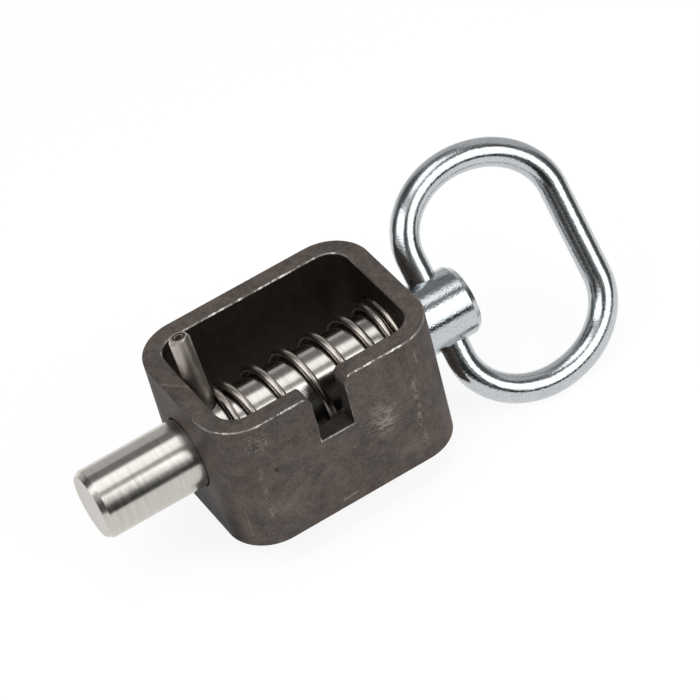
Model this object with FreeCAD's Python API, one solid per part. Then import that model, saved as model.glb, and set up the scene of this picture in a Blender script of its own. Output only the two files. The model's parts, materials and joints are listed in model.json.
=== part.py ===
"""Spring loaded weld-on gate latch: tube housing, sliding bolt, return spring, cross pin and ring handle."""
import FreeCAD, Part
import math
import os

# Frame: origin on the housing's back face, the face that is welded to the gate, midway along it and level with
# the bolt.
# +X runs along the bolt towards the handle, +Y points out of the back face, +Z to the rim with the notch.
# Lengths in millimetres, angles in degrees.

# Housing
HOUSING_LENGTH = 55.0
HOUSING_WIDTH = 41.4
HOUSING_HEIGHT = 33.7
BOLT_RISE = 0.45
WALL = 4.55
OUTER_CORNER_RADIUS = 10.2
INNER_CORNER_RADIUS = 5.2
RIM_CHAMFER = 0.3
BORE_CLEARANCE = 0.3
NOTCH_WIDTH = 8.2
NOTCH_DEPTH = 13.0
NOTCH_OFFSET = -1.35
NOTCH_MOUTH_RADIUS = 2.0
SEAT_CLEARANCE = 0.35
SEAT_DEPTH = 1.3

# Bolt
BOLT_DIAMETER = 16.0
BOLT_PROJECTION = 24.0
TIP_CHAMFER_DEPTH = 0.85
TIP_CHAMFER_LENGTH = 1.3
SPIGOT_DIAMETER = 10.0
SPIGOT_CHAMFER = 0.6

# Cross pin, coiled from strip
PIN_DIAMETER = 4.8
PIN_REACH = 26.0
PIN_TAIL_RECESS = 0.5
PIN_TILT = 11.0
PIN_STRIP = 0.5
PIN_WRAP_GAP = 0.06
PIN_HALF_TURNS = 5
PIN_END_CHAMFER = 0.45
PIN_END_TAPER = 0.9
STOP_GAP = 0.1

# Return spring
WIRE_DIAMETER = 1.75
SPRING_BORE_CLEARANCE = 0.5
SPRING_SEAT_GAP = 0.1
CLOSED_PITCH_GAP = 0.45
FRONT_CLOSED_TURNS = 1.16
ACTIVE_TURNS = 4.72
REAR_CLOSED_TURNS = 1.56
PITCH_RAMP_TURNS = 0.4
SPRING_START_ANGLE = -100.0
FRONT_TURN_LEAN = 0.6

# Handle
HUB_DIAMETER = 16.2
HUB_LENGTH = 14.1
HUB_CHAMFER_DEPTH = 0.8
HUB_CHAMFER_LENGTH = 1.3
HUB_FRONT_CHAMFER = 0.4
HUB_WALL_GAP = 0.6
HUB_END_THICKNESS = 2.4
RING_BAR_DIAMETER = 6.6
RING_SETBACK = 6.6
RING_DEPTH = 36.5
RING_HALF_SPAN = 26.15
RING_SHIFT = 0.8
RING_NEAR_RADIUS = 15.6
RING_FAR_RADIUS = 16.8
RING_TILT = 35.4
RING_END_GAP = 0.6
FIT_CLEARANCE = 0.03

# Places along the bolt, worked out from the sizes above
AXIS_Y = -HOUSING_WIDTH / 2
INNER_HALF_LENGTH = HOUSING_LENGTH / 2 - WALL
RIM_Z = HOUSING_HEIGHT / 2 - BOLT_RISE
LOW_END_Z = -HOUSING_HEIGHT / 2 - BOLT_RISE
TIP_X = -HOUSING_LENGTH / 2 - BOLT_PROJECTION
PIN_X = -INNER_HALF_LENGTH + STOP_GAP + PIN_DIAMETER / 2
SPRING_FRONT_X = PIN_X + PIN_DIAMETER / 2 + STOP_GAP
SEAT_X = INNER_HALF_LENGTH + SEAT_DEPTH
SPRING_REAR_X = SEAT_X - SPRING_SEAT_GAP
SPRING_RADIUS = BOLT_DIAMETER / 2 + SPRING_BORE_CLEARANCE + WIRE_DIAMETER / 2
HUB_START_X = HOUSING_LENGTH / 2 + HUB_WALL_GAP
HUB_END_X = HUB_START_X + HUB_LENGTH
SPIGOT_END_X = HUB_END_X - HUB_END_THICKNESS
RING_X = HUB_END_X - RING_SETBACK
CUT_PAST = 1.0
SPRING_POINTS_PER_TURN = 16
# How far a quarter arc's middle lies inside its corner, for a radius of one
ARC_MIDDLE = 1 - math.sqrt(0.5)


def on_axis(x):
    """A point on the bolt's axis."""
    return FreeCAD.Vector(x, AXIS_Y, 0)


def leaning(tilt):
    """The direction square to the bolt that leans back from upright by an angle."""
    lean = math.radians(tilt)
    return FreeCAD.Vector(0, math.sin(lean), math.cos(lean))


def turned(outline):
    """A solid turned round the bolt's axis from (x, radius) points."""
    points = [on_axis(x) + FreeCAD.Vector(0, 0, radius) for x, radius in outline]
    face = Part.Face(Part.makePolygon(points + points[:1]))
    return face.revolve(on_axis(0), FreeCAD.Vector(1, 0, 0), 360)


def cross_hole(x, radius, tilt, start, end):
    """A round cutter square to the bolt, from one distance to another along its leaning direction."""
    direction = leaning(tilt)
    return Part.makeCylinder(radius, end - start, on_axis(x) + direction * start, direction)


def rounded_block(length, width, radius, margin):
    """An upright block round the housing's middle, with rounded vertical edges, drawn past both ends by a margin."""
    corner = FreeCAD.Vector(-length / 2, AXIS_Y - width / 2, LOW_END_Z - margin)
    block = Part.makeBox(length, width, HOUSING_HEIGHT + 2 * margin, corner)
    upright = [edge for edge in block.Edges if abs(edge.tangentAt(edge.FirstParameter).z) > 0.5]
    return block.makeFillet(radius, upright)


def notch_cutter():
    """The hold-open notch: straight sides and floor, with the rim rounded over at both sides of its mouth."""
    left = NOTCH_OFFSET - NOTCH_WIDTH / 2
    right = NOTCH_OFFSET + NOTCH_WIDTH / 2
    rim = RIM_Z
    floor = rim - NOTCH_DEPTH
    round_over = NOTCH_MOUTH_RADIUS
    part_way = round_over * ARC_MIDDLE
    face_y = -HOUSING_WIDTH - CUT_PAST

    def at(x, z):
        return FreeCAD.Vector(x, face_y, z)

    edges = [
        Part.LineSegment(at(left - round_over, rim + CUT_PAST), at(left - round_over, rim)),
        Part.Arc(at(left - round_over, rim), at(left - part_way, rim - part_way), at(left, rim - round_over)),
        Part.LineSegment(at(left, rim - round_over), at(left, floor)),
        Part.LineSegment(at(left, floor), at(right, floor)),
        Part.LineSegment(at(right, floor), at(right, rim - round_over)),
        Part.Arc(at(right, rim - round_over), at(right + part_way, rim - part_way), at(right + round_over, rim)),
        Part.LineSegment(at(right + round_over, rim), at(right + round_over, rim + CUT_PAST)),
        Part.LineSegment(at(right + round_over, rim + CUT_PAST), at(left - round_over, rim + CUT_PAST)),
    ]
    outline = Part.Wire([edge.toShape() for edge in edges])
    return Part.Face(outline).extrude(FreeCAD.Vector(0, WALL + 2 * CUT_PAST, 0))


def make_housing():
    outside = rounded_block(HOUSING_LENGTH, HOUSING_WIDTH, OUTER_CORNER_RADIUS, 0)
    inside = rounded_block(HOUSING_LENGTH - 2 * WALL, HOUSING_WIDTH - 2 * WALL, INNER_CORNER_RADIUS, CUT_PAST)
    tube = outside.cut(inside)
    cut_ends = [edge for edge in tube.Edges if edge.BoundBox.ZLength < RIM_CHAMFER]
    tube = tube.makeChamfer(RIM_CHAMFER, cut_ends)
    bore_radius = BOLT_DIAMETER / 2 + BORE_CLEARANCE
    bores = Part.makeCylinder(bore_radius, HOUSING_LENGTH + 2 * CUT_PAST,
                              on_axis(-HOUSING_LENGTH / 2 - CUT_PAST), FreeCAD.Vector(1, 0, 0))
    seat_radius = SPRING_RADIUS + WIRE_DIAMETER / 2 + SEAT_CLEARANCE
    seat = Part.makeCylinder(seat_radius, SEAT_X, on_axis(0), FreeCAD.Vector(1, 0, 0))
    return tube.cut(bores.fuse(seat)).cut(notch_cutter())


def make_bolt():
    radius = BOLT_DIAMETER / 2
    spigot = SPIGOT_DIAMETER / 2
    body = turned([
        (TIP_X, 0),
        (TIP_X, radius - TIP_CHAMFER_DEPTH),
        (TIP_X + TIP_CHAMFER_LENGTH, radius),
        (HUB_START_X, radius),
        (HUB_START_X, spigot),
        (SPIGOT_END_X - SPIGOT_CHAMFER, spigot),
        (SPIGOT_END_X, spigot - SPIGOT_CHAMFER),
        (SPIGOT_END_X, 0),
    ])
    pin_hole = cross_hole(PIN_X, PIN_DIAMETER / 2 + FIT_CLEARANCE, PIN_TILT, -BOLT_DIAMETER, BOLT_DIAMETER)
    ring_hole = cross_hole(RING_X, RING_BAR_DIAMETER / 2 + FIT_CLEARANCE, RING_TILT, -BOLT_DIAMETER, BOLT_DIAMETER)
    return body.cut(pin_hole).cut(ring_hole)


def coiled_strip_face():
    """The pin's rolled section: a strip wound inwards in half circles about two centres."""
    pitch = PIN_STRIP + PIN_WRAP_GAP
    outer_edges = []
    inner_edges = []
    side = 1
    centre = 0.0
    radius = PIN_DIAMETER / 2
    for _ in range(PIN_HALF_TURNS):
        for edges, r in ((outer_edges, radius), (inner_edges, radius - PIN_STRIP)):
            start = FreeCAD.Vector(centre + side * r, 0, 0)
            middle = FreeCAD.Vector(centre, side * r, 0)
            end = FreeCAD.Vector(centre - side * r, 0, 0)
            edges.append(Part.Arc(start, middle, end).toShape())
        centre -= side * pitch / 2
        radius -= pitch / 2
        side = -side
    caps = []
    for outer, inner, vertex in ((outer_edges[0], inner_edges[0], 0), (outer_edges[-1], inner_edges[-1], 1)):
        caps.append(Part.makeLine(outer.Vertexes[vertex].Point, inner.Vertexes[vertex].Point))
    loop = Part.__sortEdges__(outer_edges + inner_edges + caps)
    return Part.Face(Part.Wire(loop))


def make_roll_pin():
    tail = -BOLT_DIAMETER / 2 + PIN_TAIL_RECESS
    length = PIN_REACH - tail
    coil = coiled_strip_face().extrude(FreeCAD.Vector(0, 0, length))
    radius = PIN_DIAMETER / 2
    envelope = Part.makeCylinder(radius, length - 2 * PIN_END_TAPER, FreeCAD.Vector(0, 0, PIN_END_TAPER))
    low_end = Part.makeCone(radius - PIN_END_CHAMFER, radius, PIN_END_TAPER)
    high_end = Part.makeCone(radius, radius - PIN_END_CHAMFER, PIN_END_TAPER,
                             FreeCAD.Vector(0, 0, length - PIN_END_TAPER))
    pin = coil.common(envelope.fuse([low_end, high_end]).removeSplitter())
    direction = leaning(PIN_TILT)
    lean = FreeCAD.Rotation(FreeCAD.Vector(0, 0, 1), direction)
    pin.Placement = FreeCAD.Placement(on_axis(PIN_X) + direction * tail, lean)
    return pin


def ramp(value, start, width):
    """A smooth step from 0 to 1 over a width."""
    share = min(max((value - start) / width, 0.0), 1.0)
    return share * share * (3 - 2 * share)


def spring_path():
    """The wire's centre line: closed turns at both ends, open turns between them, as one smooth curve.

    The first turn touches the cross pin and leans forward past it on the side away from the gate.
    """
    turns = FRONT_CLOSED_TURNS + ACTIVE_TURNS + REAR_CLOSED_TURNS
    steps = round(turns * SPRING_POINTS_PER_TURN)
    half_ramp = PITCH_RAMP_TURNS / 2

    def opening(turn):
        return ramp(turn, FRONT_CLOSED_TURNS - half_ramp, PITCH_RAMP_TURNS)

    open_share = []
    for step in range(steps):
        turn = (step + 0.5) * turns / steps
        closing = ramp(turn, FRONT_CLOSED_TURNS + ACTIVE_TURNS - half_ramp, PITCH_RAMP_TURNS)
        open_share.append(opening(turn) - closing)
    closed_pitch = WIRE_DIAMETER + CLOSED_PITCH_GAP
    turns_to_pin = (-PIN_TILT - SPRING_START_ANGLE) / 360
    x = SPRING_FRONT_X + WIRE_DIAMETER / 2 - closed_pitch * turns_to_pin
    length = SPRING_REAR_X - WIRE_DIAMETER / 2 - x
    extra = (length - closed_pitch * turns) / sum(open_share)
    points = []
    for step in range(steps + 1):
        turn = step * turns / steps
        angle = math.radians(SPRING_START_ANGLE + 360 * turn)
        lean = FRONT_TURN_LEAN * (1 - opening(turn)) * math.sin(angle + math.radians(PIN_TILT))
        around = FreeCAD.Vector(0, -SPRING_RADIUS * math.sin(angle), SPRING_RADIUS * math.cos(angle))
        points.append(on_axis(x - lean) + around)
        if step < steps:
            x += closed_pitch * turns / steps + extra * open_share[step]
    curve = Part.BSplineCurve()
    curve.interpolate(points)
    return curve


def make_return_spring():
    curve = spring_path()
    start = curve.value(curve.FirstParameter)
    along = curve.tangent(curve.FirstParameter)[0]
    section = Part.Wire(Part.makeCircle(WIRE_DIAMETER / 2, start, along))
    return Part.Wire(curve.toShape()).makePipeShell([section], True, True)


def make_handle_hub():
    radius = HUB_DIAMETER / 2
    bore = SPIGOT_DIAMETER / 2 + FIT_CLEARANCE
    body = turned([
        (HUB_START_X, bore),
        (HUB_START_X, radius - HUB_FRONT_CHAMFER),
        (HUB_START_X + HUB_FRONT_CHAMFER, radius),
        (HUB_END_X - HUB_CHAMFER_LENGTH, radius),
        (HUB_END_X, radius - HUB_CHAMFER_DEPTH),
        (HUB_END_X, 0),
        (SPIGOT_END_X + STOP_GAP, 0),
        (SPIGOT_END_X + STOP_GAP, bore),
    ])
    return body.cut(cross_hole(RING_X, RING_BAR_DIAMETER / 2 + FIT_CLEARANCE, RING_TILT, -HUB_DIAMETER, HUB_DIAMETER))


def make_handle_ring():
    """One bent bar: from the hub out, round the near bend, the far bend and the straight grip, and back."""
    across = leaning(RING_TILT)
    far_x = RING_X + RING_DEPTH

    def at(x, span):
        return on_axis(x) + across * span

    def side(sign):
        """The bar from its end in the hub to the middle of the grip, on one side."""
        edge = RING_SHIFT + sign * RING_HALF_SPAN
        near_start = edge - sign * RING_NEAR_RADIUS
        near_mid = edge - sign * RING_NEAR_RADIUS * ARC_MIDDLE
        far_mid = edge - sign * RING_FAR_RADIUS * ARC_MIDDLE
        far_end = edge - sign * RING_FAR_RADIUS
        return [
            Part.LineSegment(at(RING_X, sign * RING_END_GAP / 2), at(RING_X, near_start)),
            Part.Arc(at(RING_X, near_start), at(RING_X + RING_NEAR_RADIUS * ARC_MIDDLE, near_mid),
                     at(RING_X + RING_NEAR_RADIUS, edge)),
            Part.LineSegment(at(RING_X + RING_NEAR_RADIUS, edge), at(far_x - RING_FAR_RADIUS, edge)),
            Part.Arc(at(far_x - RING_FAR_RADIUS, edge), at(far_x - RING_FAR_RADIUS * ARC_MIDDLE, far_mid),
                     at(far_x, far_end)),
        ]

    first = side(1)
    second = side(-1)
    grip = Part.LineSegment(first[-1].EndPoint, second[-1].EndPoint)
    path = Part.Wire(Part.__sortEdges__([edge.toShape() for edge in first + [grip] + second]))
    section = Part.Wire(Part.makeCircle(RING_BAR_DIAMETER / 2, at(RING_X, RING_END_GAP / 2), across))
    return path.makePipeShell([section], True, False)


NODES = {
    "housing": make_housing,
    "bolt": make_bolt,
    "return_spring": make_return_spring,
    "roll_pin": make_roll_pin,
    "handle_hub": make_handle_hub,
    "handle_ring": make_handle_ring,
}

os.makedirs("parts", exist_ok=True)
for name, make in NODES.items():
    shape = make()
    shape.exportStep("parts/" + name + ".step")
    print(name, "solids", len(shape.Solids), "volume", round(shape.Volume, 2), "valid", shape.isValid())
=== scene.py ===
"""Looks of a spring loaded gate latch: its finishes, coiled spring, pull ring and a small studio."""
import functools
import json
import math

import bpy
from bpy.props import FloatProperty, FloatVectorProperty, IntProperty, PointerProperty
from mathutils import Matrix, Vector


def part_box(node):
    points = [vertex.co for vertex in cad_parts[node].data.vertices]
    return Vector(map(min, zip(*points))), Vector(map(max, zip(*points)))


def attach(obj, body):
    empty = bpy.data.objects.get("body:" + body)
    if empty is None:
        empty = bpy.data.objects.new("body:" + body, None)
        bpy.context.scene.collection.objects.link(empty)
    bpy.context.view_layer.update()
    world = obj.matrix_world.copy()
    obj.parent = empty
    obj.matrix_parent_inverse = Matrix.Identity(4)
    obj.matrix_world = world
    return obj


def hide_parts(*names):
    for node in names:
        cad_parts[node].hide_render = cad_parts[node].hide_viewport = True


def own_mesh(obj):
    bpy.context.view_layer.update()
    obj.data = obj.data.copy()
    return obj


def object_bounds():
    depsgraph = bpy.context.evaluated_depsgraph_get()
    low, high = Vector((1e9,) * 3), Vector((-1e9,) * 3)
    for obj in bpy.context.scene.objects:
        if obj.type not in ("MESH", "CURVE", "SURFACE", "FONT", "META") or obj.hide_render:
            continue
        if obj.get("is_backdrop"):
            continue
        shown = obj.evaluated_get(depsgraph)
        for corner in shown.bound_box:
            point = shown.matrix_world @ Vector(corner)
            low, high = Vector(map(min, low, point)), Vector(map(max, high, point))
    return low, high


bl_info = {
    "name": "Spring Loaded Gate Latch",
    "version": (1, 0, 0),
    "blender": (4, 5, 0),
    "location": "View3D > Sidebar > Latch",
    "description": "Finishes the latch's parts, coils its spring, bends its ring and sets up the studio",
    "category": "Object",
}

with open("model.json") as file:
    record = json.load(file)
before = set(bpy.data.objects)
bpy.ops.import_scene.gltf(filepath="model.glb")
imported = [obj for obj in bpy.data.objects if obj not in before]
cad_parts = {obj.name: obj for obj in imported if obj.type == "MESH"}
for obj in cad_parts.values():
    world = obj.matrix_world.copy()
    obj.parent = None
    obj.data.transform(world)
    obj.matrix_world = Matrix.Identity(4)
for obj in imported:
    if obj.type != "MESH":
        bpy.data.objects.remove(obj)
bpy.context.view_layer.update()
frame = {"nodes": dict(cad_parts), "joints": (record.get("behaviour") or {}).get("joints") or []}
MM = 0.001

# Boxes of the solids and the bolt's axis, in metres
HOUSING_LOW, HOUSING_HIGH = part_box("housing")
BOLT_LOW, BOLT_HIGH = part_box("bolt")
SPRING_LOW, SPRING_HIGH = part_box("return_spring")
PIN_LOW, PIN_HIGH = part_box("roll_pin")
AXIS_Y = (BOLT_LOW.y + BOLT_HIGH.y) / 2
AXIS_Z = (BOLT_LOW.z + BOLT_HIGH.z) / 2

# Sizes that the finishes follow, in millimetres along the bolt and from its axis
HALF_LENGTH = (HOUSING_HIGH.x - HOUSING_LOW.x) / 2 / MM
HALF_WIDTH = (HOUSING_HIGH.y - HOUSING_LOW.y) / 2 / MM
RIM_HEIGHT = HOUSING_HIGH.z / MM
LOW_END = HOUSING_LOW.z / MM
TIP_X = BOLT_LOW.x / MM
BOLT_RADIUS = (BOLT_HIGH.y - BOLT_LOW.y) / 2 / MM
PIN_X = (PIN_LOW.x + PIN_HIGH.x) / 2 / MM
# Cross pin: how far its upper end is from the bolt's axis, and its lean to the back
PIN_REACH = 26.0
PIN_LEAN = math.radians(11.0)

# Rub lines where the housing's flats turn into its corners: start, end, width and strength
RUB_LINES = (
    ((19.6, 14.0), (19.7, 9.5), 0.45, 0.6),
    ((17.3, 6.5), (17.6, -2.0), 0.65, 0.85),
    ((17.2, -3.5), (17.4, -12.5), 0.6, 0.85),
    ((-19.5, 5.7), (-20.5, 2.3), 0.6, 0.5),
    ((-20.2, -1.3), (-20.3, -8.8), 0.65, 0.5),
    ((-25.0, -6.5), (-24.8, -16.4), 0.25, 0.45),
)
# A scratch on the front: start, end and width
SCRATCH = ((-4.2, -14.85), (-0.7, -14.7), 0.3)
# Marks on the front, the swirl and the shine being painted sheen: middle, half sizes, and the shares of those
# where a mark starts to fade and ends
SWIRL_SHEEN = ((9.2, -0.2), (5.2, 6.0), 0.1, 1.1)
KNOCK = ((-19.2, 11.9), (3.0, 3.4), 0.2, 1.1)
SHINE = ((19.5, 4.0), (5.0, 14.0), 0.2, 1.0)
SPECK = ((-16.8, 2.8), (0.8, 0.7), 0.3, 1.0)
# Seam on the left rim: where it starts, and how far it runs to the front for each millimetre along the bolt
SEAM_START = 4.8
SEAM_SLANT = 1.12
# Painted shade on the bolt's underside inside the housing, dark and dull: its middle along the bolt, and how
# far from there it starts to fade and ends
UNDERSIDE_SHADE_X = -4.0
UNDERSIDE_SHADE_ENDS = (11.0, 20.0)
# Dark wrap in the pin's end face: radii over which it starts and ends
WRAP_START = (0.75, 1.05)
WRAP_END = (1.45, 1.7)

# Swept bars: sides of their section, and the angle past which an edge stays sharp
BAR_SIDES = 36
SHARP_ANGLE = math.radians(50.0)

# Softboxes: name, degrees from overhead, degrees to the camera's right, width, height, roll in degrees
# and share of light
SOFTBOXES = (
    ("overhead", 3.0, 60.0, 0.30, 0.30, 0.0, 0.88),
    ("right", 57.0, 47.0, 0.36, 0.45, 0.0, 1.12),
    ("left", 42.0, -57.0, 0.56, 0.26, 10.0, 1.0),
)
SOFTBOX_DISTANCE = 0.55
# Dim parts of the room: degrees from overhead, degrees to the camera's right, inner and outer radius
# in degrees and brightness
DIM_PARTS = (
    (84.0, -8.0, 16.0, 30.0, 0.03),
    (84.0, 34.0, 14.0, 25.0, 0.03),
    (84.0, -48.0, 12.0, 26.0, 0.08),
    (92.0, 72.0, 9.0, 19.0, 0.06),
    (76.0, -104.0, 10.0, 24.0, 0.09),
    (49.0, 6.0, 6.0, 20.0, 0.10),
    (60.0, -8.0, 12.0, 24.0, 0.22),
    (44.0, -122.0, 14.0, 36.0, 0.10),
    (78.0, 92.0, 12.0, 30.0, 0.10),
    (44.0, 84.0, 5.0, 18.0, 0.10),
    (28.0, 90.0, 8.0, 26.0, 0.22),
    (30.0, 176.0, 8.0, 20.0, 0.22),
    (30.0, -176.0, 8.0, 24.0, 0.22),
)
# Floor: its gap under the latch, its reach to the front, to the right and elsewhere, and its glow to the eye
FLOOR_GAP = 0.0002
FLOOR_FRONT = 0.26
FLOOR_RIGHT = 0.26
FLOOR_REACH = 1.6
FLOOR_GLOW = 1.12
# Painted shadow on the floor beneath the tube, as dark ovals in millimetres: middle, half sizes, share
# of those where each starts to fade and depth
FLOOR_SHADOW_OVALS = (
    ((10.0, 12.9), (10.0, 5.0), 0.28, 1.0),
    ((3.0, 9.0), (25.0, 14.0), 0.0, 0.6),
)
# Camera: width of its sensor in millimetres, and the nearest distance that it sees
SENSOR_WIDTH = 36.0
CLIP_START = 0.01


class Sock:
    """A node's output that takes part in sums."""

    def __init__(self, tree, socket):
        self.tree = tree
        self.socket = socket

    def __add__(self, other):
        return self.tree.math("ADD", self, other)

    __radd__ = __add__

    def __sub__(self, other):
        return self.tree.math("SUBTRACT", self, other)

    def __rsub__(self, other):
        return self.tree.math("SUBTRACT", other, self)

    def __mul__(self, other):
        return self.tree.math("MULTIPLY", self, other)

    __rmul__ = __mul__

    def __truediv__(self, other):
        return self.tree.math("DIVIDE", self, other)

    def __rtruediv__(self, other):
        return self.tree.math("DIVIDE", other, self)

    def __pow__(self, other):
        return self.tree.math("POWER", self, other)

    def __neg__(self):
        return self.tree.math("MULTIPLY", self, -1.0)

    def __abs__(self):
        return self.tree.math("ABSOLUTE", self)

    def most(self, other):
        return self.tree.math("MAXIMUM", self, other)

    def least(self, other):
        return self.tree.math("MINIMUM", self, other)

    def square(self):
        return self.tree.math("MULTIPLY", self, self)

    def sine(self):
        return self.tree.math("SINE", self)

    def cosine(self):
        return self.tree.math("COSINE", self)


class Tree:
    """Adds nodes to a node tree."""

    def __init__(self, data):
        self.data = data

    def add(self, kind, settings=None, sockets=None):
        """A node of this kind: its settings first, then its sockets' values or links."""
        node = self.data.nodes.new(kind)
        for name, value in (settings or {}).items():
            setattr(node, name, value)
        for name, value in (sockets or {}).items():
            self.feed(node.inputs[name], value)
        return node

    def feed(self, target, value):
        """Links an output to a socket, or sets the socket's own value."""
        if isinstance(value, Sock):
            self.data.links.new(value.socket, target)
        elif target.type == "RGBA" and len(value) == 3:
            target.default_value = (*value, 1.0)
        else:
            target.default_value = value

    def get(self, kind, settings=None, sockets=None, output=0):
        return Sock(self, self.add(kind, settings, sockets).outputs[output])

    def math(self, operation, *values):
        return self.get("ShaderNodeMath", {"operation": operation}, dict(enumerate(values)))

    def ramp(self, value, start, end):
        """A soft step from 0 at start to 1 at end."""
        sockets = {"Value": value, "From Min": start, "From Max": end}
        return self.get("ShaderNodeMapRange", {"interpolation_type": "SMOOTHSTEP"}, sockets)

    def mix(self, share, first, second):
        """A colour between two."""
        return self.get("ShaderNodeMix", {"data_type": "RGBA"}, {0: share, 6: first, 7: second}, 2)

    def tint(self, colour, amount):
        """A colour times a number."""
        return self.get("ShaderNodeVectorMath", {"operation": "SCALE"}, {0: colour, "Scale": amount})

    def stretch(self, vector, scale, turn=(0.0, 0.0, 0.0)):
        """A place turned and stretched, for patterns that run one way."""
        return self.get("ShaderNodeMapping", None, {"Vector": vector, "Rotation": turn, "Scale": scale})

    def noise(self, vector, scale, detail=2.0, rough=0.5, bend=0.0):
        sockets = {"Vector": vector, "Scale": scale, "Detail": detail, "Roughness": rough, "Distortion": bend}
        return self.get("ShaderNodeTexNoise", None, sockets)

    def split(self, vector):
        node = self.add("ShaderNodeSeparateXYZ", None, {0: vector})
        return [Sock(self, output) for output in node.outputs]

    def join(self, x, y, z):
        return self.get("ShaderNodeCombineXYZ", None, {0: x, 1: y, 2: z})


def colour_setting(name, text, *value):
    """A colour that can be set."""
    return FloatVectorProperty(name=name, description=text, subtype="COLOR", default=value)


def share_setting(name, text, value, low=0.0, high=1.0):
    """A share that can be set between two limits."""
    return FloatProperty(name=name, description=text, default=value, min=low, max=high, subtype="FACTOR")


def number_setting(name, text, value, low=0.0):
    """A plain number that can be set."""
    return FloatProperty(name=name, description=text, default=value, min=low)


def length_setting(name, text, value, low=0.0):
    """A length in metres that can be set."""
    return FloatProperty(name=name, description=text, default=value, min=low, unit="LENGTH")


def angle_setting(name, text, value):
    """An angle in radians that can be set."""
    return FloatProperty(name=name, description=text, default=value, subtype="ANGLE")


class LatchHousingFinish(bpy.types.PropertyGroup):
    """Colours of the raw tube, and the sizes in millimetres that its finish follows."""

    scale: colour_setting("Mill scale", "Colour of the tube's skin", 0.140, 0.113, 0.098)
    cool: colour_setting("Cool scale", "Colour of the skin's bluer patches", 0.118, 0.101, 0.091)
    # The rubbed colour also carries the painted sheen on the front
    pale: colour_setting("Rubbed scale", "Colour where the skin is rubbed thin", 0.31, 0.265, 0.232)
    bare: colour_setting("Bare steel", "Colour of the steel at worn edges", 0.54, 0.51, 0.475)
    # Painted shade: the inside colour is the oily skin made far darker than the outside, for the shade inside
    # the tube
    inside: colour_setting("Inside", "Colour of the oily skin inside the tube", 0.034, 0.0265, 0.021)
    wall: number_setting("Wall", "Thickness of the tube's wall", 4.55, low=1.0)
    outer_radius: number_setting("Outer corner", "Radius of the tube's outer corners", 10.2, low=1.0)
    inner_radius: number_setting("Inner corner", "Radius of the tube's inner corners", 5.2, low=1.0)
    notch_width: number_setting("Notch width", "Width of the hold-open notch", 8.2, low=1.0)
    notch_depth: number_setting("Notch depth", "Depth of the hold-open notch", 13.0, low=1.0)
    notch_offset: number_setting("Notch offset", "Where the notch's middle is", -1.35, low=-20.0)
    wear: number_setting("Edge wear", "Width of the bright edges", 0.36)


class LatchSteelFinish(bpy.types.PropertyGroup):
    """Colours of the bare steel parts."""

    bolt: colour_setting("Bolt", "Colour of the ground bar", 0.575, 0.545, 0.505)
    bolt_roughness: share_setting("Bolt roughness", "Roughness of the ground bar", 0.19)
    wire: colour_setting("Spring and pin", "Colour of the oiled spring steel", 0.57, 0.51, 0.46)
    wire_roughness: share_setting("Wire roughness", "Roughness of the spring's wire", 0.28)
    pin_roughness: share_setting("Pin roughness", "Roughness of the cross pin", 0.42)


class LatchZincFinish(bpy.types.PropertyGroup):
    """Colour of the plated handle."""

    plate: colour_setting("Zinc", "Colour of the bright zinc plate", 0.54, 0.565, 0.58)
    roughness: share_setting("Roughness", "Roughness of the plate", 0.14)


class LatchSpringSizes(bpy.types.PropertyGroup):
    """Sizes of the return spring."""

    wire: length_setting("Wire", "Diameter of the wire", 0.00175, low=0.0001)
    front_turns: number_setting("Front turns", "Closed turns beside the pin", 1.16)
    active_turns: number_setting("Active turns", "Open turns", 4.72, low=0.5)
    rear_turns: number_setting("Rear turns", "Closed turns beside the handle", 1.56)
    pitch_gap: length_setting("Closed gap", "Gap between two closed turns", 0.00045)
    pitch_ramp: number_setting("Pitch change", "Turns over which the pitch changes", 0.4, low=0.01)
    start_angle: angle_setting("Start", "The wire's start, from upright to the front", math.radians(-100.0))
    pin_tilt: angle_setting("Pin tilt", "Lean of the cross pin towards the back", PIN_LEAN)
    front_lean: length_setting("Front lean", "How far the first turn leans round the pin", 0.0006)
    pin_face: length_setting("Pin face", "Where the first turn meets the pin", -0.01795, low=-0.1)
    steps_per_turn: IntProperty(name="Steps", description="Points on each turn", default=48, min=8)


class LatchRingSizes(bpy.types.PropertyGroup):
    """Sizes of the pull ring."""

    bar: length_setting("Bar", "Diameter of the bar", 0.0066, low=0.0001)
    half_span: length_setting("Half span", "From the ring's middle to its sides", 0.0263, low=0.001)
    near_bend: length_setting("Near bend", "Reach along the span of the bends at the hub", 0.0145, low=0.001)
    far_bend: length_setting("Far bend", "Reach along the span of the bends at the grip", 0.0156, low=0.001)
    near_share: share_setting("Near share", "Share of the depth in the near bends", 0.475, low=0.1, high=0.9)
    shift: length_setting("Shift", "From the bolt's axis to the ring's middle", 0.0008, low=-0.01)
    tilt: angle_setting("Tilt", "Lean of the ring's plane to the back", math.radians(35.4))
    points: IntProperty(name="Points", description="Even number of points round it", default=160, min=16)


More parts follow.
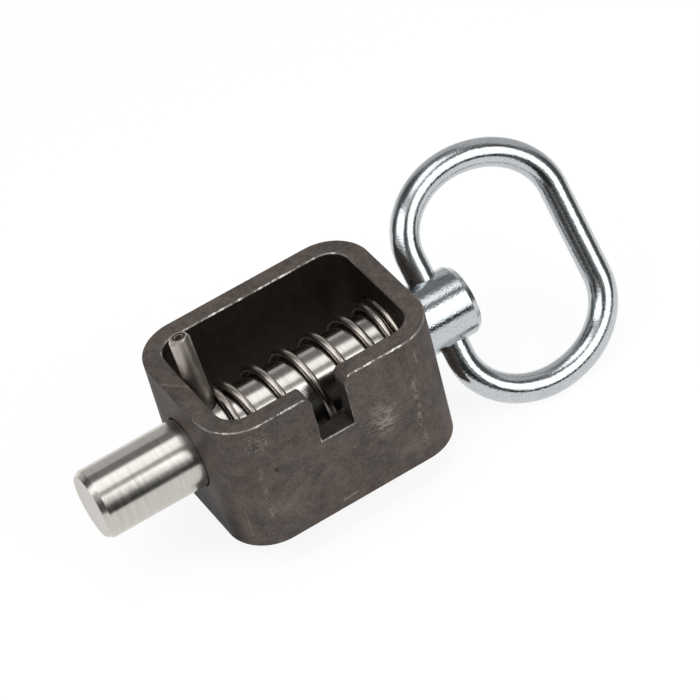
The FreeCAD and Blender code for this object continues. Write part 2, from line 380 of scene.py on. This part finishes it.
class LatchStudio(bpy.types.PropertyGroup):
    """Camera, floor and light."""

    azimuth: angle_setting("Azimuth", "Camera's turn round the latch", math.radians(-20.728))
    elevation: angle_setting("Elevation", "Camera's height angle", math.radians(41.439))
    roll: angle_setting("Roll", "Camera's roll", math.radians(-15.333))
    eye: FloatVectorProperty(name="Eye", description="Camera's place", subtype="TRANSLATION", unit="LENGTH",
                             default=(-0.1827, -0.5398, 0.4928))
    lens: number_setting("Lens", "Focal length in millimetres", 177.97, low=1.0)
    floor: colour_setting("Floor", "Colour of the floor", 0.82, 0.82, 0.82)
    # Colour of the painted shadow beneath the tube
    under: colour_setting("Under", "Colour of the floor's dark ovals", 0.06, 0.052, 0.046)
    shadow: share_setting("Shadow", "How much of the floor's shadow shows", 0.22)
    softbox: number_setting("Softboxes", "Brightness of the three softboxes", 1.65)
    tint: colour_setting("Softbox tint", "Colour of the softboxes' light", 0.965, 0.985, 1.0)
    room: number_setting("Room", "Brightness of the grey room", 0.62)


def new_material(name):
    """An empty material and the tree that fills it."""
    material = bpy.data.materials.new(name)
    material.use_nodes = True
    material.node_tree.nodes.clear()
    return material, Tree(material.node_tree)


def close_material(tree, sockets):
    """Ends a material in one shader."""
    shader = tree.get("ShaderNodeBsdfPrincipled", None, sockets)
    tree.add("ShaderNodeOutputMaterial", None, {"Surface": shader})


def object_place(tree):
    return tree.get("ShaderNodeTexCoord", None, None, "Object")


def latch_axes(tree, place):
    """Millimetres along the bolt, to the back from its axis and up from its axis."""
    x, y, z = tree.split(place)
    return x / MM, (y - AXIS_Y) / MM, (z - AXIS_Z) / MM


def corner_distance(x, y, half_x, half_y, radius):
    """Distance outside a rounded rectangle, below zero inside it."""
    over_x = abs(x) - (half_x - radius)
    over_y = abs(y) - (half_y - radius)
    outside = (over_x.most(0.0).square() + over_y.most(0.0).square()) ** 0.5
    return outside + over_x.most(over_y).least(0.0) - radius


def dress(node, material):
    """Gives a solid of the frame its finish."""
    shown = frame["nodes"][node]
    for slot in shown.material_slots:
        slot.material = material


def spot(tree, across, up, centre, size, inner, outer=1.0):
    """A soft oval, 1 in its middle and 0 outside."""
    away = ((across - centre[0]) / size[0]).square() + ((up - centre[1]) / size[1]).square()
    return 1.0 - tree.ramp(away ** 0.5, inner, outer)


def streak(tree, across, up, start, end, width):
    """A thin line from one place to another."""
    run_x = end[0] - start[0]
    run_z = end[1] - start[1]
    along = (across - start[0]) * run_x + (up - start[1]) * run_z
    share = (along / (run_x ** 2 + run_z ** 2)).least(1.0).most(0.0)
    off_x = across - start[0] - share * run_x
    off_z = up - start[1] - share * run_z
    return 1.0 - tree.ramp((off_x.square() + off_z.square()) ** 0.5, width * 0.2, width)


def mill_scale(finish):
    """Raw tube: dark scale with clouds, scuffs, rub lines and a seam, bare at its edges and oily inside, with
    painted shade inside it, on its left face and in its notch, and painted sheen on its front.
    """
    material, tree = new_material("mill_scale")
    place = object_place(tree)
    x, y, z = latch_axes(tree, place)
    outer = corner_distance(x, y, HALF_LENGTH, HALF_WIDTH, finish.outer_radius)
    inner = corner_distance(x, y, HALF_LENGTH - finish.wall, HALF_WIDTH - finish.wall, finish.inner_radius)
    below_rim = RIM_HEIGHT - z
    above_end = z - LOW_END
    end = below_rim.least(above_end)
    skin = tree.ramp(outer, -0.6, -0.2)
    front = tree.ramp(-y, HALF_WIDTH - 9.0, HALF_WIDTH - 6.0) * skin
    # Painted shade inside the tube, on its oily skin
    inside_oil_and_shade = (1.0 - tree.ramp(inner, 0.05, 0.4)) * tree.ramp(end, 0.1, 0.5)
    cut = 1.0 - tree.ramp(end, 0.1, 0.4)

    clouds = tree.noise(place, 85.0, 4.0, 0.6, 0.8)
    warmth = tree.noise(place, 130.0, 3.0, 0.55, 0.5)
    mottle = tree.noise(place, 420.0, 4.0, 0.62, 0.4)
    grain = tree.noise(place, 2600.0, 2.0, 0.6)
    drag = tree.noise(tree.stretch(place, (900.0, 900.0, 110.0)), 1.0, 3.0, 0.65)
    saw = tree.noise(tree.stretch(place, (90.0, 1900.0, 90.0), (0.0, 0.0, math.radians(18.0))), 1.0, 2.0, 0.5)
    slant = tree.stretch(place, (420.0, 420.0, 1700.0), (0.0, math.radians(9.0), 0.0))
    scuff_run = tree.noise(slant, 1.0, 4.0, 0.65)

    # Rub lines, broken by the grain, and a scratch
    lines = [streak(tree, x, z, *line) * strength for *line, strength in RUB_LINES]
    rub = functools.reduce(Sock.most, lines)
    rub = rub * tree.ramp((drag + grain) * 0.5 + (mottle - 0.5) * 0.6, 0.44, 0.58) * front
    scratch = streak(tree, x, z, *SCRATCH) * front

    # Painted sheen in the swirl and the shine, a scuffed knock and a dark speck on the front
    swirl_sheen = spot(tree, x, z, *SWIRL_SHEEN) * tree.ramp(scuff_run, 0.4, 0.62)
    knock = spot(tree, x, z, *KNOCK) * tree.ramp(mottle + (grain - 0.5) * 1.5, 0.5, 0.66)
    shine = spot(tree, x, z, *SHINE) * tree.ramp(drag, 0.4, 0.75)
    scuff_and_sheen = (swirl_sheen * 1.8 + knock * 1.2 + shine * 0.4) * front
    speck = spot(tree, x, z, *SPECK) * front

    # Painted shade: the left face is darker and less metallic towards its lower end
    left_shade = tree.ramp(-z, -8.0, 8.0) * 0.35 + tree.ramp(-z, 5.0, 16.0) * 0.5
    left_shade = left_shade * tree.ramp(-x, HALF_LENGTH - 2.0, HALF_LENGTH - 0.1) * skin

    # A ground seam across the left rim: a dark patch in front of a pale line
    left_rim = tree.ramp(-x, HALF_LENGTH - 5.2, HALF_LENGTH - 4.6) * cut
    past_seam = SEAM_START - y - (x + HALF_LENGTH) * SEAM_SLANT
    seam = (1.0 - tree.ramp(abs(past_seam), 0.15, 0.5)) * left_rim
    seam_patch = tree.ramp(past_seam, 0.2, 1.0) * (1.0 - tree.ramp(past_seam, 4.5, 8.0)) * left_rim

    # Bright edges, broken by the grain: keen at the front outside and at the back inside
    outer_keen = tree.ramp(y, 9.0 - HALF_WIDTH, 17.0 - HALF_WIDTH) * 0.3
    inner_keen = 0.32 - tree.ramp(y, 2.0, 12.0) * 0.32
    rim_edge = (outer.square() + below_rim.square()) ** 0.5 + outer_keen
    mouth_edge = (inner.square() + below_rim.square()) ** 0.5 + inner_keen
    low_edge = (outer.square() + above_end.square()) ** 0.5 + 0.2
    across_notch = abs(x - finish.notch_offset) - finish.notch_width / 2
    notch = across_notch.most(RIM_HEIGHT - finish.notch_depth - z)
    notch_keen = 0.28 - tree.ramp(below_rim, finish.notch_depth - 1.5, finish.notch_depth - 0.5) * 0.2
    notch_edge = (outer.square() + notch.square()) ** 0.5 + notch_keen + tree.ramp(y, -9.0, -5.0) * 9.0
    edge = rim_edge.least(mouth_edge).least(low_edge).least(notch_edge)
    edge = edge + (mottle - 0.5) * 0.75 + (grain - 0.5) * 0.5
    worn = 1.0 - tree.ramp(edge, finish.wear * 0.3, finish.wear)

    # Painted shade: the notch's cut faces are darker below the rim
    notch_shade = (1.0 - tree.ramp(abs(notch), 0.1, 0.3)) * (1.0 - tree.ramp(outer, -0.45, -0.2))
    notch_shade = notch_shade * tree.ramp(below_rim, 1.8, 3.5) * tree.ramp(-y, 12.0, 14.0)

    tone = 1.0 + (clouds - 0.5) * 0.75 + (mottle - 0.5) * 1.15 + (grain - 0.5) * 1.2
    # Darker at the speck, the cut ends and the seam's patch, and painted shade on the left face and in the
    # notch
    shade = (1.0 - speck * 0.65) * (1.0 - cut * 0.1) * (1.0 - left_shade) * (1.0 - notch_shade * 0.6)
    shade = shade * (1.0 - seam_patch * 0.2)
    # Paler, smoother and more metallic where rubbed, and where the painted sheen lies on the front
    rubbed = tree.ramp(clouds, 0.54, 0.76) * 0.15 + rub * 0.8 + scuff_and_sheen * 0.65
    rubbed = (rubbed + scratch * 0.7 + seam * 0.45).least(1.0)
    colour = tree.mix(tree.ramp(warmth, 0.4, 0.62), finish.cool, finish.scale)
    colour = tree.mix(rubbed, colour, finish.pale)
    colour = tree.mix(cut * saw * 0.2, colour, finish.pale)
    colour = tree.tint(colour, tone * shade)
    colour = tree.mix(inside_oil_and_shade, colour, tree.tint(finish.inside, 1.0 + (grain - 0.5) * 1.4 + (mottle - 0.5)))
    colour = tree.mix(worn, colour, finish.bare)
    rough = 0.5 + (mottle - 0.5) * 0.4 - rubbed * 0.12 - worn * 0.15
    metal = (0.3 - left_shade * 0.3 + rubbed * 0.3 + worn * 0.7 + inside_oil_and_shade * 0.25).least(1.0)
    relief = mottle * 0.5 + grain * 0.35 + clouds * 0.5 + cut * saw * 0.5
    bump = tree.get("ShaderNodeBump", None, {"Strength": 0.4, "Distance": 0.00014, "Height": relief})
    close_material(tree, {"Base Color": colour, "Roughness": rough, "Metallic": metal, "Normal": bump,
                          "Specular IOR Level": 0.12, "Specular Tint": (0.4, 0.4, 0.4)})
    return material


def ground_steel(finish):
    """Bright bar with fine grinding lines round it, and painted shade, dark and dull, along its underside
    inside the housing.
    """
    material, tree = new_material("ground_steel")
    place = object_place(tree)
    x, _, z = latch_axes(tree, place)
    fine = tree.noise(tree.stretch(place, (5200.0, 60.0, 60.0)), 1.0, 3.0, 0.65)
    broad = tree.noise(tree.stretch(place, (900.0, 70.0, 70.0)), 1.0, 3.0, 0.6)
    chatter = tree.noise(tree.stretch(place, (3800.0, 650.0, 650.0)), 1.0, 2.0, 0.6)
    stain = tree.noise(place, 160.0, 3.0, 0.55)
    end_face = 1.0 - tree.ramp(x - TIP_X, 0.02, 0.1)
    # Painted shade: the underside is dark, dull and not metallic here, fading towards both ends
    past_shade = tree.ramp(abs(x - UNDERSIDE_SHADE_X) + (stain - 0.5) * 6.0, *UNDERSIDE_SHADE_ENDS)
    underside_shade = (1.0 - past_shade) * (1.0 - tree.ramp(z + (stain - 0.5) * 3.0, -1.0, 4.0))
    tone = 0.95 + (fine - 0.5) * 0.34 + (broad - 0.5) * 0.26 + (stain - 0.5) * 0.08
    colour = tree.tint(finish.bolt, tone * (1.0 - underside_shade * 0.9))
    rough = finish.bolt_roughness + (fine - 0.5) * 0.12 + (stain - 0.5) * 0.08
    rough = rough + end_face * 0.16 + underside_shade * 0.2
    relief = fine * 0.4 + broad * 0.3 + chatter * 0.6
    bump = tree.get("ShaderNodeBump", None, {"Strength": 0.35, "Distance": 0.00004, "Height": relief})
    close_material(tree, {"Base Color": colour, "Roughness": rough, "Metallic": 1.0 - underside_shade, "Normal": bump,
                          "Specular IOR Level": 0.0})
    return material


def spring_steel(finish, name, roughness, run, shade):
    """Oiled spring steel: warm and satin, with drawing lines that follow the run, and painted shade from the
    shade given, which also dulls the steel.
    """
    material, tree = new_material(name)
    place = object_place(tree)
    lines = tree.noise(run(tree, place), 1.0, 3.0, 0.6)
    film = tree.noise(place, 260.0, 4.0, 0.6)
    specks = tree.noise(place, 2200.0, 2.0, 0.5)
    tone = 0.95 + (lines - 0.5) * 0.3 + (film - 0.5) * 0.3 + (specks - 0.5) * 0.1
    # Painted shade: darker, rougher and less metallic where the shade given falls
    shade_factor = shade(tree, place)
    colour = tree.tint(finish.wire, tone * shade_factor)
    rough = roughness + (film - 0.5) * 0.14 + (lines - 0.5) * 0.1 + (1.0 - shade_factor) * 0.3
    relief = lines * 0.5 + specks * 0.3
    bump = tree.get("ShaderNodeBump", None, {"Strength": 0.05, "Distance": 0.00003, "Height": relief})
    metal = (shade_factor * 1.1).least(1.0)
    close_material(tree, {"Base Color": colour, "Roughness": rough, "Metallic": metal, "Normal": bump,
                          "Specular IOR Level": 0.0})
    return material


def bright_zinc(finish):
    """Bright zinc plate: cool, smooth, with a fine grain and faint clouding."""
    material, tree = new_material("bright_zinc")
    place = object_place(tree)
    grain = tree.noise(place, 2600.0, 1.0, 0.5)
    ripple = tree.noise(place, 700.0, 3.0, 0.55)
    cloud = tree.noise(place, 110.0, 3.0, 0.55)
    tone = 0.97 + (grain - 0.5) * 0.5 + (cloud - 0.5) * 0.2
    colour = tree.tint(finish.plate, tone)
    rough = finish.roughness + (ripple - 0.5) * 0.06 + (grain - 0.5) * 0.06
    relief = ripple * 0.3 + grain * 0.9
    bump = tree.get("ShaderNodeBump", None, {"Strength": 0.35, "Distance": 0.0001, "Height": relief})
    close_material(tree, {"Base Color": colour, "Roughness": rough, "Metallic": 1.0, "Normal": bump})
    return material


def wire_run(tree, place):
    """A pattern place that runs along the coiled wire."""
    run = tree.get("ShaderNodeAttribute", {"attribute_name": "wire_run"}, None, "Fac")
    around = tree.get("ShaderNodeAttribute", {"attribute_name": "wire_round"}, None, "Vector")
    around_x, around_y, _ = tree.split(around)
    return tree.join(run * 9.0, around_x * 7.0, around_y * 7.0)


def pin_run(tree, place):
    """A pattern place that runs along the cross pin."""
    return tree.stretch(place, (2400.0, 2400.0, 120.0), (PIN_LEAN, 0.0, 0.0))


def coil_shade(tree, place):
    """Painted shade on the inside of the coil, against the bolt, and round its underside."""
    _, y, z = latch_axes(tree, place)
    away = (y.square() + z.square()) ** 0.5
    outside = tree.ramp(away, BOLT_RADIUS + 0.9, BOLT_RADIUS + 1.5)
    return 0.1 + outside * tree.ramp(z, -4.0, 3.0) * 0.9


def pin_shade(tree, place):
    """Painted shade where the pin meets the bolt, and a dark line in the wrap of its end."""
    x, y, z = latch_axes(tree, place)
    away = (y.square() + z.square()) ** 0.5
    along = y * math.sin(PIN_LEAN) + z * math.cos(PIN_LEAN)
    off_x = x - PIN_X
    off_y = y * math.cos(PIN_LEAN) - z * math.sin(PIN_LEAN)
    off = (off_x.square() + off_y.square()) ** 0.5
    end_face = tree.ramp(along, PIN_REACH - 0.15, PIN_REACH - 0.05)
    wrap = tree.ramp(off, *WRAP_START) * (1.0 - tree.ramp(off, *WRAP_END)) * end_face
    # Painted shade near the bolt, times the dark wrap line in the end face
    return (0.6 + tree.ramp(away, BOLT_RADIUS, BOLT_RADIUS + 1.5) * 0.4) * (1.0 - wrap * 0.85)


def tree_with(name, sizes):
    """A geometry tree, and its inputs: these sizes, a number of points and a material."""
    group = bpy.data.node_groups.new(name, "GeometryNodeTree")
    face = group.interface
    face.new_socket("Geometry", in_out="INPUT", socket_type="NodeSocketGeometry")
    for size in sizes:
        face.new_socket(size, in_out="INPUT", socket_type="NodeSocketFloat")
    face.new_socket("Points", in_out="INPUT", socket_type="NodeSocketInt")
    face.new_socket("Material", in_out="INPUT", socket_type="NodeSocketMaterial")
    face.new_socket("Geometry", in_out="OUTPUT", socket_type="NodeSocketGeometry")
    tree = Tree(group)
    given = tree.add("NodeGroupInput")
    return tree, [Sock(tree, given.outputs[size]) for size in (*sizes, "Points", "Material")]


def sweep(tree, points, where, run, thickness, closed, material):
    """Sweeps a round bar through places given point by point, and ends the tree."""
    line = tree.get("GeometryNodeMeshLine", None, {"Count": points})
    path = tree.get("GeometryNodeMeshToCurve", None, {"Mesh": line})
    path = tree.get("GeometryNodeSetPosition", None, {"Geometry": path, "Position": where})
    path = tree.get("GeometryNodeSetSplineCyclic", None, {"Geometry": path, "Cyclic": closed})
    path = tree.get("GeometryNodeStoreNamedAttribute", {"data_type": "FLOAT", "domain": "POINT"},
                    {"Geometry": path, "Name": "wire_run", "Value": run})
    ring = tree.get("GeometryNodeCurvePrimitiveCircle", None,
                    {"Resolution": BAR_SIDES, "Radius": thickness * 0.5})
    place = tree.get("GeometryNodeInputPosition")
    around = tree.get("ShaderNodeVectorMath", {"operation": "NORMALIZE"}, {0: place})
    ring = tree.get("GeometryNodeStoreNamedAttribute", {"data_type": "FLOAT_VECTOR", "domain": "POINT"},
                    {"Geometry": ring, "Name": "wire_round", "Value": around})
    bar = tree.get("GeometryNodeCurveToMesh", None, {"Curve": path, "Profile Curve": ring, "Fill Caps": True})
    bar = tree.get("GeometryNodeSetShadeSmooth", None, {"Geometry": bar, "Shade Smooth": True})
    bar = tree.get("GeometryNodeRealizeInstances", None, {"Geometry": bar})
    bar = tree.get("GeometryNodeSetMaterial", None, {"Geometry": bar, "Material": material})
    tree.add("NodeGroupOutput", None, {"Geometry": bar})


def spring_tree():
    """Geometry nodes that coil a round wire with closed ends."""
    sizes = ("Wire Diameter", "Coil Radius", "Front Turns", "Active Turns", "Rear Turns", "Closed Pitch",
             "Pitch Ramp", "Start Angle", "Pin Tilt", "Front Lean", "Front X", "Rear X", "Axis Y", "Axis Z")
    tree, given = tree_with("coiled_spring", sizes)
    wire, radius, front, active, rear, pitch, ramp, start, tilt, lean = given[:10]
    front_x, rear_x, axis_y, axis_z, points, material = given[10:]
    turns = front + active + rear
    turn = tree.get("GeometryNodeInputIndex") / (points - 1.0) * turns

    def opened(centre):
        """Turns passed since the pitch changed at this turn, and how far it has changed."""
        share = ((turn - centre) / ramp + 0.5).least(1.0).most(0.0)
        cube = share.square() * share
        passed = ramp * (cube - cube * share * 0.5) + (turn - centre - ramp * 0.5).most(0.0)
        return passed, share.square() * (3.0 - share * 2.0)

    opening, open_share = opened(front)
    closing, _ = opened(front + active)
    first_x = front_x + wire * 0.5 - pitch * ((-tilt - start) / math.tau)
    spare = (rear_x - wire * 0.5 - first_x - pitch * turns) / active
    angle = start + turn * math.tau
    leaning = lean * (1.0 - open_share) * (angle + tilt).sine()
    x = first_x + pitch * turn + spare * (opening - closing) - leaning
    where = tree.join(x, axis_y - radius * angle.sine(), axis_z + radius * angle.cosine())
    sweep(tree, points, where, turn, wire, False, material)
    return tree.data


def ring_tree():
    """Geometry nodes that bend a round bar into a ring with two straight bars and smooth bends."""
    sizes = ("Bar Diameter", "Near X", "Far X", "Near Share", "Half Span", "Near Bend", "Far Bend", "Shift",
             "Tilt", "Axis Y", "Axis Z")
    tree, given = tree_with("pull_ring", sizes)
    bar, near_x, far_x, near_share, half_span, near_bend, far_bend = given[:7]
    shift, tilt, axis_y, axis_z, points, material = given[7:]
    index = tree.get("GeometryNodeInputIndex")
    count = points * 0.5
    half = tree.math("FLOOR", index / count + 0.0001)
    angle = ((index - half * count) / (count - 1.0) + half) * math.pi
    far = tree.math("GREATER_THAN", angle.cosine(), 0.0)
    near_depth = (far_x - near_x) * near_share
    depth = near_depth + far * (far_x - near_x - near_depth * 2.0)
    bend = near_bend + far * (far_bend - near_bend)
    span = shift + (1.0 - half * 2.0) * (half_span - bend) + bend * angle.sine()
    x = near_x + near_depth + depth * angle.cosine()
    where = tree.join(x, axis_y + span * tilt.sine(), axis_z + span * tilt.cosine())
    sweep(tree, points, where, index, bar, True, material)
    return tree.data


def grow(name, group, values):
    """Runs a geometry tree and keeps its result as a plain mesh."""
    seed = bpy.data.objects.new(name, bpy.data.meshes.new(name))
    bpy.context.scene.collection.objects.link(seed)
    modifier = seed.modifiers.new("Nodes", "NODES")
    modifier.node_group = group
    for item in group.interface.items_tree:
        if item.in_out == "INPUT" and item.name in values:
            modifier[item.identifier] = values[item.name]
    settled = seed.evaluated_get(bpy.context.evaluated_depsgraph_get())
    mesh = bpy.data.meshes.new_from_object(settled)
    seed.modifiers.clear()
    seed.data = mesh
    mesh.set_sharp_from_angle(angle=SHARP_ANGLE)
    return seed


class LATCH_OT_housing(bpy.types.Operator):
    """Gives the tube its mill scale, scuffs and worn edges"""

    bl_idname = "latch.housing"
    bl_label = "Housing"

    def execute(self, context):
        dress("housing", mill_scale(context.scene.latch_housing))
        return {"FINISHED"}


class LATCH_OT_bolt(bpy.types.Operator):
    """Gives the bolt its ground finish"""

    bl_idname = "latch.bolt"
    bl_label = "Bolt"

    def execute(self, context):
        dress("bolt", ground_steel(context.scene.latch_steel))
        return {"FINISHED"}


class LATCH_OT_spring(bpy.types.Operator):
    """Coils the return spring round the bolt"""

    bl_idname = "latch.spring"
    bl_label = "Return spring"

    def execute(self, context):
        sizes = context.scene.latch_spring
        steel = context.scene.latch_steel
        turns = sizes.front_turns + sizes.active_turns + sizes.rear_turns
        values = {
            "Wire Diameter": sizes.wire, "Coil Radius": (SPRING_HIGH.y - SPRING_LOW.y - sizes.wire) / 2,
            "Front Turns": sizes.front_turns, "Active Turns": sizes.active_turns,
            "Rear Turns": sizes.rear_turns, "Closed Pitch": sizes.wire + sizes.pitch_gap,
            "Pitch Ramp": sizes.pitch_ramp,
            "Start Angle": sizes.start_angle, "Pin Tilt": sizes.pin_tilt, "Front Lean": sizes.front_lean,
            "Front X": sizes.pin_face, "Rear X": SPRING_HIGH.x, "Axis Y": AXIS_Y, "Axis Z": AXIS_Z,
            "Points": round(turns * sizes.steps_per_turn) + 1,
            "Material": spring_steel(steel, "spring_wire", steel.wire_roughness, wire_run, coil_shade),
        }
        spring = grow("return_spring_wire", spring_tree(), values)
        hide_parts("return_spring")
        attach(spring, "spring")
        length = SPRING_HIGH.x - SPRING_LOW.x
        travel = next(j for j in frame["joints"] if j["name"] == "bolt_slide")["range_m"][1]
        (length - travel) / length
        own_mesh(spring)
        return {"FINISHED"}


class LATCH_OT_pin(bpy.types.Operator):
    """Gives the coiled cross pin its oiled finish"""

    bl_idname = "latch.pin"
    bl_label = "Cross pin"

    def execute(self, context):
        steel = context.scene.latch_steel
        dress("roll_pin", spring_steel(steel, "pin_steel", steel.pin_roughness, pin_run, pin_shade))
        return {"FINISHED"}


class LATCH_OT_handle(bpy.types.Operator):
    """Gives the hub its zinc plate and bends the pull ring"""

    bl_idname = "latch.handle"
    bl_label = "Handle"

    def execute(self, context):
        plate = bright_zinc(context.scene.latch_zinc)
        dress("handle_hub", plate)
        sizes = context.scene.latch_ring
        low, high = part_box("handle_ring")
        values = {
            "Bar Diameter": sizes.bar, "Near X": low.x + sizes.bar / 2, "Far X": high.x - sizes.bar / 2,
            "Near Share": sizes.near_share, "Half Span": sizes.half_span, "Near Bend": sizes.near_bend,
            "Far Bend": sizes.far_bend, "Shift": sizes.shift, "Tilt": sizes.tilt,
            "Axis Y": AXIS_Y, "Axis Z": AXIS_Z, "Points": sizes.points, "Material": plate,
        }
        ring = grow("pull_ring_bar", ring_tree(), values)
        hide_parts("handle_ring")
        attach(ring, "plunger")
        return {"FINISHED"}


class LATCH_OT_stage(bpy.types.Operator):
    """Sets up the floor, the softboxes, the room and the camera"""

    bl_idname = "latch.stage"
    bl_label = "Studio"

    def execute(self, context):
        studio = context.scene.latch_studio
        context.scene.view_settings.view_transform = "Standard"
        self.lay_floor(context, studio)
        self.hang_softboxes(context, studio)
        self.paint_room(context, studio)
        self.set_camera(context, studio)
        return {"FINISHED"}

    def lay_floor(self, context, studio):
        """A pale floor that shows white to the eye, keeps some of its shadow and has painted shadow beneath
        the tube.
        """
        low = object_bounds()[0][2] - FLOOR_GAP
        turn = Matrix.Rotation(studio.azimuth, 3, "Z")
        corners = ((-FLOOR_REACH, -FLOOR_FRONT), (FLOOR_RIGHT, -FLOOR_FRONT),
                   (FLOOR_RIGHT, FLOOR_REACH), (-FLOOR_REACH, FLOOR_REACH))
        mesh = bpy.data.meshes.new("floor")
        places = [turn @ Vector((x, y, 0.0)) + Vector((0.0, AXIS_Y, low)) for x, y in corners]
        mesh.from_pydata(places, [], [(0, 1, 2, 3)])
        material, tree = new_material("floor_paper")
        x, y, _ = latch_axes(tree, object_place(tree))
        # Painted shadow: dark ovals beneath the tube darken the floor and take away its glow there
        ovals = [spot(tree, x, y, *oval) * depth for *oval, depth in FLOOR_SHADOW_OVALS]
        under = functools.reduce(Sock.most, ovals)
        rays = tree.add("ShaderNodeLightPath")
        seen = Sock(tree, rays.outputs["Is Camera Ray"])
        for name in ("Is Glossy Ray", "Is Transmission Ray"):
            seen = seen.most(Sock(tree, rays.outputs[name]))
        colour = tree.mix(under, studio.floor, studio.under)
        paper = tree.get("ShaderNodeBsdfDiffuse", None, {"Color": colour})
        white = tree.get("ShaderNodeEmission", None, {"Color": (1.0, 1.0, 1.0), "Strength": FLOOR_GLOW})
        share = seen * (1.0 - studio.shadow) * (1.0 - under)
        shown = tree.get("ShaderNodeMixShader", None, {0: share, 1: paper, 2: white})
        tree.add("ShaderNodeOutputMaterial", None, {"Surface": shown})
        mesh.materials.append(material)
        floor = bpy.data.objects.new("floor", mesh)
        context.scene.collection.objects.link(floor)
        floor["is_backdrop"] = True

    def way(self, studio, zenith, side):
        """The way from the latch to a place in the studio, by its angles."""
        flat = math.sin(math.radians(zenith))
        heading = studio.azimuth + math.radians(side)
        return Vector((math.sin(heading) * flat, -math.cos(heading) * flat, math.cos(math.radians(zenith))))

    def hang_softboxes(self, context, studio):
        """Three softboxes round the handle."""
        low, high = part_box("handle_ring")
        middle = (low + high) / 2
        for name, zenith, side, width, height, roll, share in SOFTBOXES:
            way = self.way(studio, zenith, side)
            data = bpy.data.lights.new(name, "AREA")
            data.shape = "RECTANGLE"
            data.size = width
            data.size_y = height
            data.energy = studio.softbox * share * math.pi * width * height
            data.color = studio.tint
            lamp = bpy.data.objects.new(name, data)
            turn = way.to_track_quat("Z", "Y").to_matrix() @ Matrix.Rotation(math.radians(roll), 3, "Z")
            lamp.matrix_world = Matrix.Translation(middle + way * SOFTBOX_DISTANCE) @ turn.to_4x4()
            lamp.visible_camera = False
            context.scene.collection.objects.link(lamp)

    def paint_room(self, context, studio):
        """A grey room with dim parts, as bright metal shows it, white to the eye."""
        world = bpy.data.worlds.new("grey_room")
        world.use_nodes = True
        world.node_tree.nodes.clear()
        tree = Tree(world.node_tree)
        way = tree.get("ShaderNodeTexCoord", None, None, "Generated")
        shades = []
        for zenith, side, inner, outer, value in DIM_PARTS:
            near = tree.get("ShaderNodeVectorMath", {"operation": "DOT_PRODUCT"},
                            {0: way, 1: self.way(studio, zenith, side)}, "Value")
            dim = tree.ramp(near, math.cos(math.radians(outer)), math.cos(math.radians(inner)))
            shades.append(1.0 - dim * (1.0 - value / studio.room))
        light = functools.reduce(Sock.least, shades) * studio.room
        room = tree.get("ShaderNodeBackground", None, {"Color": (1.0, 1.0, 1.0), "Strength": light})
        white = tree.get("ShaderNodeBackground", None, {"Color": (1.0, 1.0, 1.0), "Strength": 1.0})
        seen = tree.get("ShaderNodeLightPath", None, None, "Is Camera Ray")
        both = tree.get("ShaderNodeMixShader", None, {0: seen, 1: room, 2: white})
        tree.add("ShaderNodeOutputWorld", None, {"Surface": both})
        context.scene.world = world

    def set_camera(self, context, studio):
        """A camera at the photograph's view."""
        flat = math.cos(studio.elevation)
        level = Vector((math.cos(studio.azimuth), math.sin(studio.azimuth), 0.0))
        back = Vector((level.y * flat, -level.x * flat, math.sin(studio.elevation)))
        upright = back.cross(level)
        roll = studio.roll
        right = level * math.cos(roll) + upright * math.sin(roll)
        up = upright * math.cos(roll) - level * math.sin(roll)
        data = bpy.data.cameras.new("camera")
        data.sensor_width = SENSOR_WIDTH
        data.lens = studio.lens
        data.clip_start = CLIP_START
        camera = bpy.data.objects.new("camera", data)
        turn = Matrix((right, up, back)).transposed().to_4x4()
        camera.matrix_world = Matrix.Translation(studio.eye) @ turn
        context.scene.collection.objects.link(camera)
        context.scene.camera = camera


class LATCH_PT_sidebar(bpy.types.Panel):
    """Lists the latch's pieces and their settings"""

    bl_idname = "LATCH_PT_sidebar"
    bl_label = "Gate Latch"
    bl_space_type = "VIEW_3D"
    bl_region_type = "UI"
    bl_category = "Latch"

    def draw(self, context):
        for operator, groups in STEPS:
            box = self.layout.box()
            box.operator(operator.bl_idname)
            for group in groups:
                settings = getattr(context.scene, group)
                for name in settings.__annotations__:
                    box.prop(settings, name)


STEPS = (
    (LATCH_OT_housing, ("latch_housing",)),
    (LATCH_OT_bolt, ("latch_steel",)),
    (LATCH_OT_spring, ("latch_spring",)),
    (LATCH_OT_pin, ()),
    (LATCH_OT_handle, ("latch_zinc", "latch_ring")),
    (LATCH_OT_stage, ("latch_studio",)),
)
GROUPS = {
    "latch_housing": LatchHousingFinish,
    "latch_steel": LatchSteelFinish,
    "latch_zinc": LatchZincFinish,
    "latch_spring": LatchSpringSizes,
    "latch_ring": LatchRingSizes,
    "latch_studio": LatchStudio,
}
CLASSES = (*GROUPS.values(), *(operator for operator, _ in STEPS), LATCH_PT_sidebar)


def register():
    for cls in CLASSES:
        bpy.utils.register_class(cls)
    for name, cls in GROUPS.items():
        setattr(bpy.types.Scene, name, PointerProperty(type=cls))


def unregister():
    for name in GROUPS:
        delattr(bpy.types.Scene, name)
    for cls in reversed(CLASSES):
        bpy.utils.unregister_class(cls)


def main():
    register()
    for operator, _ in STEPS:
        folder, name = operator.bl_idname.split(".")
        getattr(getattr(bpy.ops, folder), name)()


if __name__ == "__main__":
    main()
